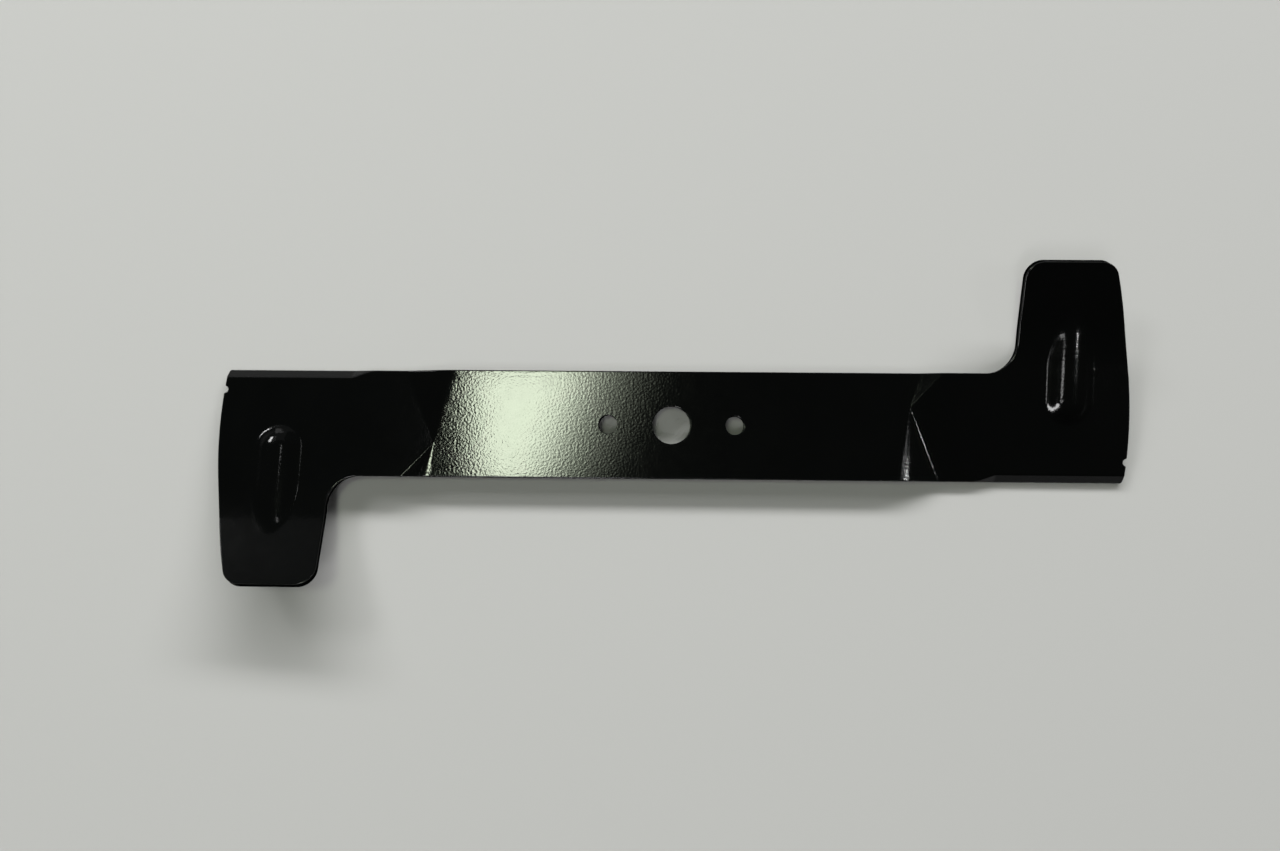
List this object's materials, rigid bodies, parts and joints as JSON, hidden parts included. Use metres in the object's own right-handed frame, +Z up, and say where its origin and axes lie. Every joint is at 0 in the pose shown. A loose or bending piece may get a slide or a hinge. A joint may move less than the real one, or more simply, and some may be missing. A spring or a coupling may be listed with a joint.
{
  "type": "rotary mower blade",
  "caption": "Flat steel rotary mower blade with cranked ends, bevelled cutting edges, ribbed wings that lift air behind them, and a centre bore between drive holes.",
  "frame": {"origin": "centre of the bore, on the hub's upper face", "axes": "+Z up along the bore, towards the spindle; +X along the blade; the blade turns clockwise seen from above"},
  "size_m": [0.46, 0.163, 0.0298],
  "materials": {
    "black_coat": "gloss powder coat with fine orange peel"
  },
  "bodies": {
    "root": {"mower_blade": "black_coat"}
  },
  "joints": []
}
